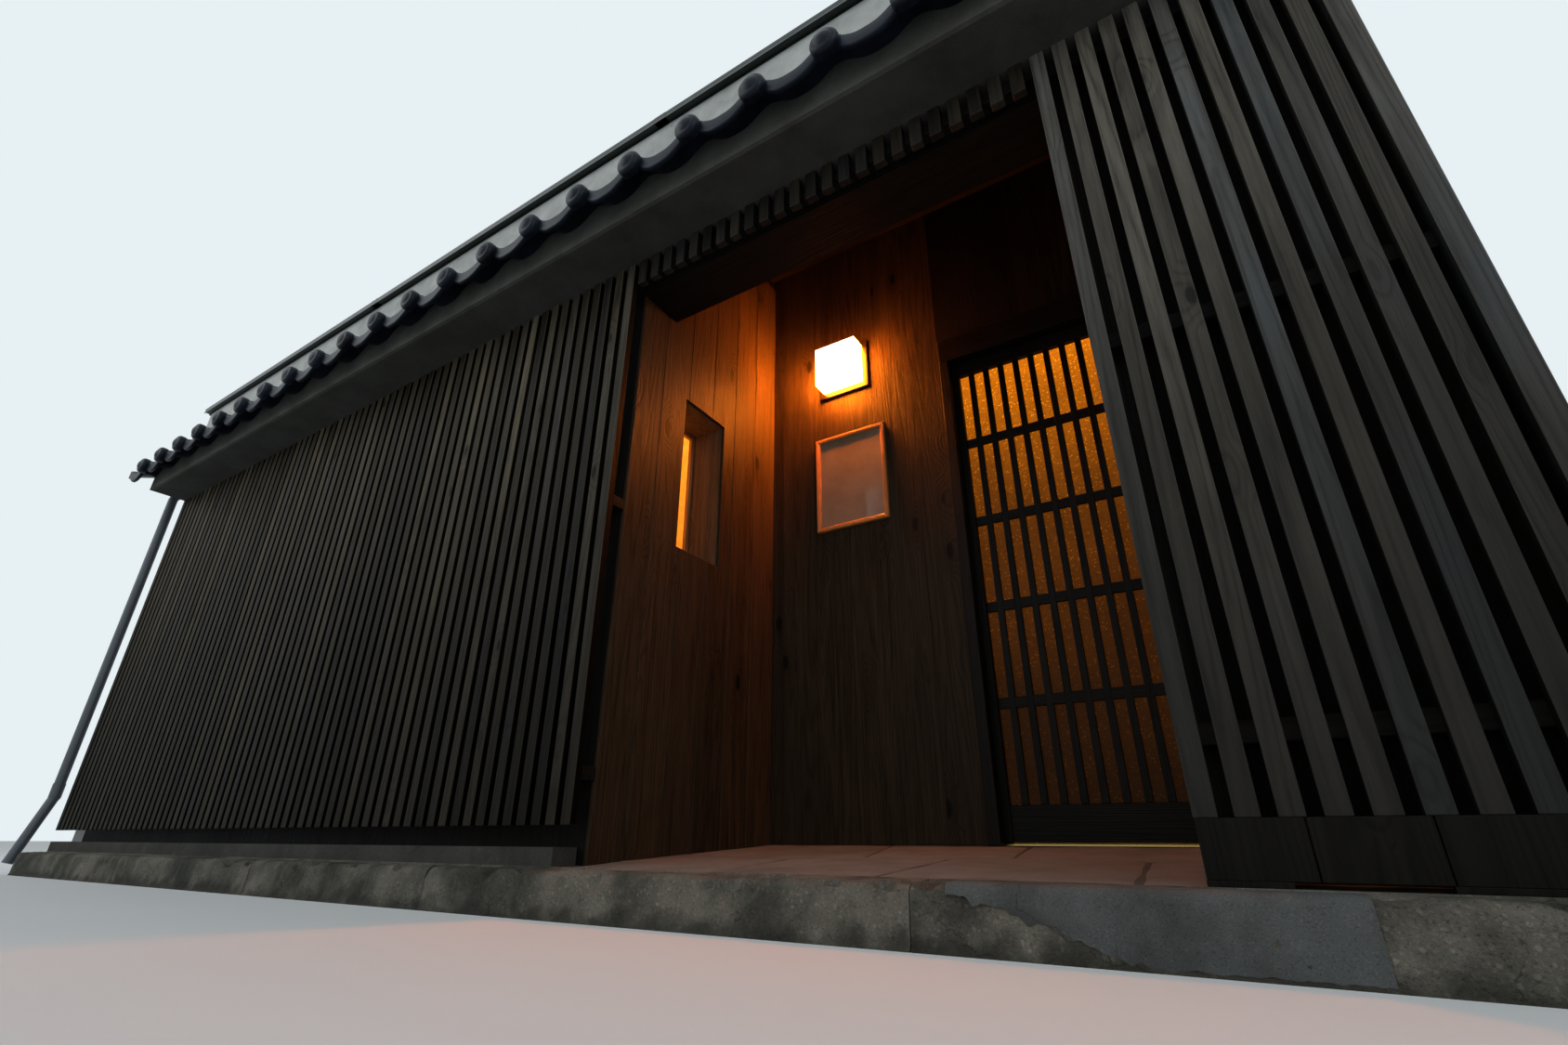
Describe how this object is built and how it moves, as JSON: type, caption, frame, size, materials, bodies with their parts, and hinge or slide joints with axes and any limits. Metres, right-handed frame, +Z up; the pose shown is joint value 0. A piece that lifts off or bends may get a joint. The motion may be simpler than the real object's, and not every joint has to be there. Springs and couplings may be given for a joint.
{
  "type": "machiya townhouse",
  "caption": "Small wooden townhouse with slatted screens, a recessed entry with a sliding lattice door, a boxed tiled eave and a plastered upper wall.",
  "frame": {"origin": "ground level, under the middle of the part's outline", "axes": "+Z up, the street front faces -Y, +X runs right along the street front"},
  "size_m": [6.5416, 7.2512, 4.2574],
  "materials": {
    "concrete": "rough cast concrete, mottled and chipped",
    "mortar": "trowelled grey mortar",
    "flagstone": "pale irregular flagstones with dark joints",
    "plaster": "off-white trowelled plaster",
    "eave_render": "light grey sprayed render",
    "weathered_slats": "weathered grey-brown cedar",
    "stained_boards": "dark stained cedar boards with knots",
    "roof_timber": "brown stained cedar",
    "dark_joinery": "dark stained door joinery",
    "pale_wood": "oiled light wood",
    "smoked_tile": "smoked blue-grey clay tile",
    "coated_sheet": "dark green-black coated sheet",
    "dark_metal": "dark painted metal",
    "grey_pipe": "weathered blue-grey pipe",
    "brass_track": "worn brass",
    "lit_glass": "patterned frosted glass, lit from inside",
    "lit_shade": "white lit shade",
    "blank_paper": "plain cream paper"
  },
  "bodies": {
    "house": {"front_kerb": "concrete", "left_plinth": "mortar", "porch_floor": "flagstone", "floor_slab": "mortar", "left_party_wall": "plaster", "right_party_wall": "plaster", "rear_wall": "plaster", "left_front_wall": "stained_boards", "recess_side_wall": "stained_boards", "slit_window_frame": "pale_wood", "slit_window_glass": "lit_glass", "recess_wall_left": "stained_boards", "pocket_lining": "stained_boards", "recess_wall_right": "stained_boards", "recess_wall_over_door": "stained_boards", "upper_front_wall": "plaster", "coping": "coated_sheet", "entry_lintel": "stained_boards", "soffit": "eave_render", "fascia": "eave_render", "eave_end_caps": "eave_render", "eave_deck": "stained_boards", "eave_tiles": "smoked_tile", "roof_deck_front": "roof_timber", "roof_deck_rear": "roof_timber", "roof_tiles_front": "smoked_tile", "roof_tiles_rear": "smoked_tile", "roof_ridge": "smoked_tile", "box_gutter": "coated_sheet", "left_screen": "weathered_slats", "entry_stubs": "weathered_slats", "right_screen": "weathered_slats", "right_backing": "stained_boards", "right_skirt": "stained_boards", "door_frame": "dark_joinery", "door_track": "brass_track", "lamp_base": "dark_metal", "lamp_shade": "lit_shade", "sign_frame": "pale_wood", "sign_panel": "blank_paper", "downpipe": "grey_pipe"},
    "door": {"door_leaf": "dark_joinery", "door_lattice": "dark_joinery", "door_glass": "lit_glass"}
  },
  "joints": [
    {"name": "door_slide", "type": "slide", "parent": "house", "child": "door", "axis": [-1, 0, 0], "range_m": [0, 0.78]}
  ]
}
